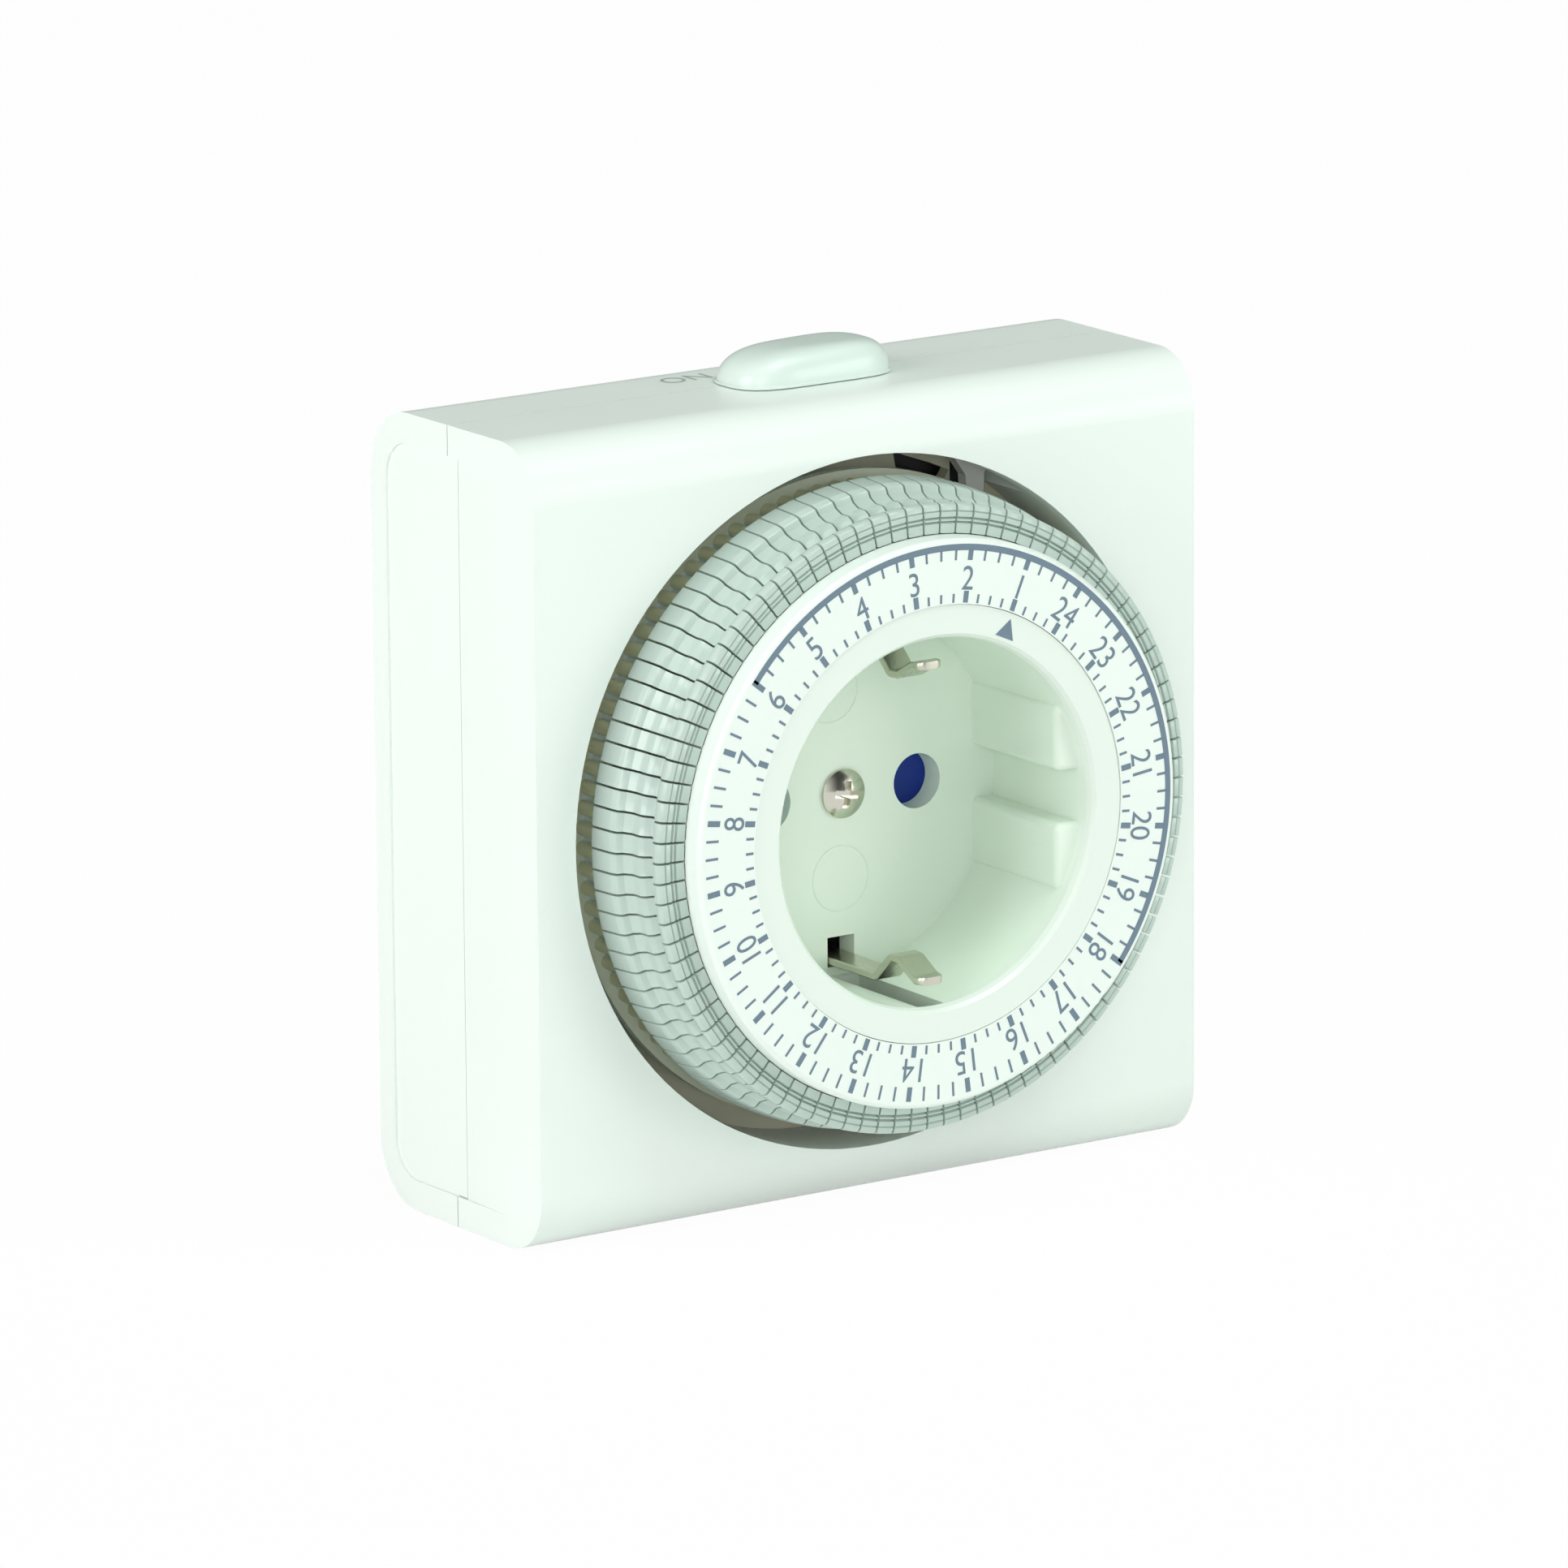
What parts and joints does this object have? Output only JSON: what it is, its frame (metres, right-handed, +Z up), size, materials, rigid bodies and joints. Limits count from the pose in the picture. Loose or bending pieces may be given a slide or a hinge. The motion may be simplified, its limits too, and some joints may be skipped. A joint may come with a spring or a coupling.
{
  "type": "plug-in timer switch",
  "caption": "White plug-in mains timer switch with a 24-hour segment dial, socket well, override button and round plug.",
  "frame": {"origin": "centre of the round plug's face at the back", "axes": "+Y along the pins into the wall, +Z up, +X right as seen from the dial"},
  "size_m": [0.0832, 0.0789, 0.0889],
  "materials": {
    "housing_white": "white satin plastic with a faint green cast",
    "dial_white": "white plastic with a slate print",
    "segment_grey": "pale grey plastic",
    "button_grey": "pale grey-green gloss plastic",
    "well_white": "pale green-white plastic",
    "shutter_blue": "deep blue plastic",
    "nickel": "nickel plated",
    "brass": "brass strip",
    "steel": "steel",
    "movement_plastic": "cream moulded plastic",
    "dark_plastic": "dark switch case",
    "copper": "varnished copper winding"
  },
  "bodies": {
    "housing": {"front_cover": "housing_white", "back_shell": "housing_white", "socket_insert": "well_white", "centre_screw": "nickel", "contact_carrier": "movement_plastic", "earth_clip_top": "nickel", "earth_clip_bottom": "nickel", "plug_earth_contact_top": "nickel", "plug_earth_contact_bottom": "nickel", "earth_bar": "brass", "plug_pin_left": "nickel", "plug_pin_right": "nickel", "neutral_receptacle": "brass", "line_receptacle": "brass", "neutral_bar": "brass", "line_bar": "brass", "switch_bar": "brass", "movement_plate": "movement_plastic", "lever_pin": "steel", "switch_body": "dark_plastic", "switch_terminals": "brass", "housing_screws": "steel", "shutter_spring": "steel", "motor_can": "steel", "motor_front_plate": "steel", "motor_coil": "copper"},
    "dial": {"dial_wheel": "dial_white", "dial_face": "dial_white", "dial_drive_gear": "movement_plastic"},
    "arbor": {"arbor_shaft": "steel", "output_pinion": "movement_plastic", "intermediate_wheel": "movement_plastic"},
    "motor": {"motor_rotor": "steel", "motor_pinion": "steel"},
    "lever": {"switch_lever": "movement_plastic"},
    "plunger": {"switch_plunger": "movement_plastic"},
    "button": {"override_button": "button_grey", "override_slider": "movement_plastic"},
    "shutter": {"shutter": "shutter_blue"},
    "segment_02_body": {"segment_02": "segment_grey"},
    "segment_03_body": {"segment_03": "segment_grey"},
    "segment_04_body": {"segment_04": "segment_grey"},
    "segment_05_body": {"segment_05": "segment_grey"},
    "segment_bank_1_body": {"segment_bank_1": "segment_grey"},
    "segment_bank_2_body": {"segment_bank_2": "segment_grey"},
    "segment_bank_3_body": {"segment_bank_3": "segment_grey"},
    "segment_bank_4_body": {"segment_bank_4": "segment_grey"},
    "segment_bank_5_body": {"segment_bank_5": "segment_grey"},
    "segment_bank_6_body": {"segment_bank_6": "segment_grey"},
    "segment_bank_7_body": {"segment_bank_7": "segment_grey"},
    "segment_bank_8_body": {"segment_bank_8": "segment_grey"}
  },
  "joints": [
    {"name": "dial_turn", "type": "hinge", "parent": "housing", "child": "dial", "pos_m": [0, -0.0475, 0], "axis": [0, 1, 0], "continuous": true},
    {"name": "arbor_turn", "type": "hinge", "parent": "housing", "child": "arbor", "pos_m": [-0.01909, -0.036, -0.01909], "axis": [0, 1, 0], "continuous": true},
    {"name": "motor_turn", "type": "hinge", "parent": "housing", "child": "motor", "pos_m": [-0.02649, -0.03, -0.00323], "axis": [0, 1, 0], "continuous": true},
    {"name": "segment_02_push", "type": "slide", "parent": "dial", "child": "segment_02_body", "axis": [0, 1, 0], "range_m": [0, 0.0025]},
    {"name": "segment_03_push", "type": "slide", "parent": "dial", "child": "segment_03_body", "axis": [0, 1, 0], "range_m": [0, 0.0025]},
    {"name": "segment_04_push", "type": "slide", "parent": "dial", "child": "segment_04_body", "axis": [0, 1, 0], "range_m": [0, 0.0025]},
    {"name": "segment_05_push", "type": "slide", "parent": "dial", "child": "segment_05_body", "axis": [0, 1, 0], "range_m": [0, 0.0025]},
    {"name": "segment_bank_1_push", "type": "slide", "parent": "dial", "child": "segment_bank_1_body", "axis": [0, 1, 0], "range_m": [0, 0.0025]},
    {"name": "segment_bank_2_push", "type": "slide", "parent": "dial", "child": "segment_bank_2_body", "axis": [0, 1, 0], "range_m": [0, 0.0025]},
    {"name": "segment_bank_3_push", "type": "slide", "parent": "dial", "child": "segment_bank_3_body", "axis": [0, 1, 0], "range_m": [0, 0.0025]},
    {"name": "segment_bank_4_push", "type": "slide", "parent": "dial", "child": "segment_bank_4_body", "axis": [0, 1, 0], "range_m": [0, 0.0025]},
    {"name": "segment_bank_5_push", "type": "slide", "parent": "dial", "child": "segment_bank_5_body", "axis": [0, 1, 0], "range_m": [0, 0.0025]},
    {"name": "segment_bank_6_push", "type": "slide", "parent": "dial", "child": "segment_bank_6_body", "axis": [0, 1, 0], "range_m": [0, 0.0025]},
    {"name": "segment_bank_7_push", "type": "slide", "parent": "dial", "child": "segment_bank_7_body", "axis": [0, 1, 0], "range_m": [0, 0.0025]},
    {"name": "segment_bank_8_push", "type": "slide", "parent": "dial", "child": "segment_bank_8_body", "axis": [0, 1, 0], "range_m": [0, 0.0025]},
    {"name": "lever_swing", "type": "hinge", "parent": "housing", "child": "lever", "pos_m": [0.0196, -0.038, 0.0376], "axis": [1, 0, 0], "range_deg": [0, 8], "stiffness_Nm_per_rad": 0.002},
    {"name": "plunger_push", "type": "slide", "parent": "housing", "child": "plunger", "axis": [0, 1, 0], "range_m": [0, 0.0008], "stiffness_N_per_m": 200},
    {"name": "button_slide", "type": "slide", "parent": "housing", "child": "button", "axis": [-1, 0, 0], "range_m": [0, 0.006]},
    {"name": "shutter_turn", "type": "hinge", "parent": "housing", "child": "shutter", "pos_m": [0, -0.0388, 0], "axis": [0, 1, 0], "range_deg": [0, 42], "stiffness_Nm_per_rad": 0.005}
  ],
  "couplings": [
    {"joint": "arbor_turn", "follows": "dial_turn", "ratio": -8},
    {"joint": "motor_turn", "follows": "dial_turn", "ratio": 48}
  ]
}
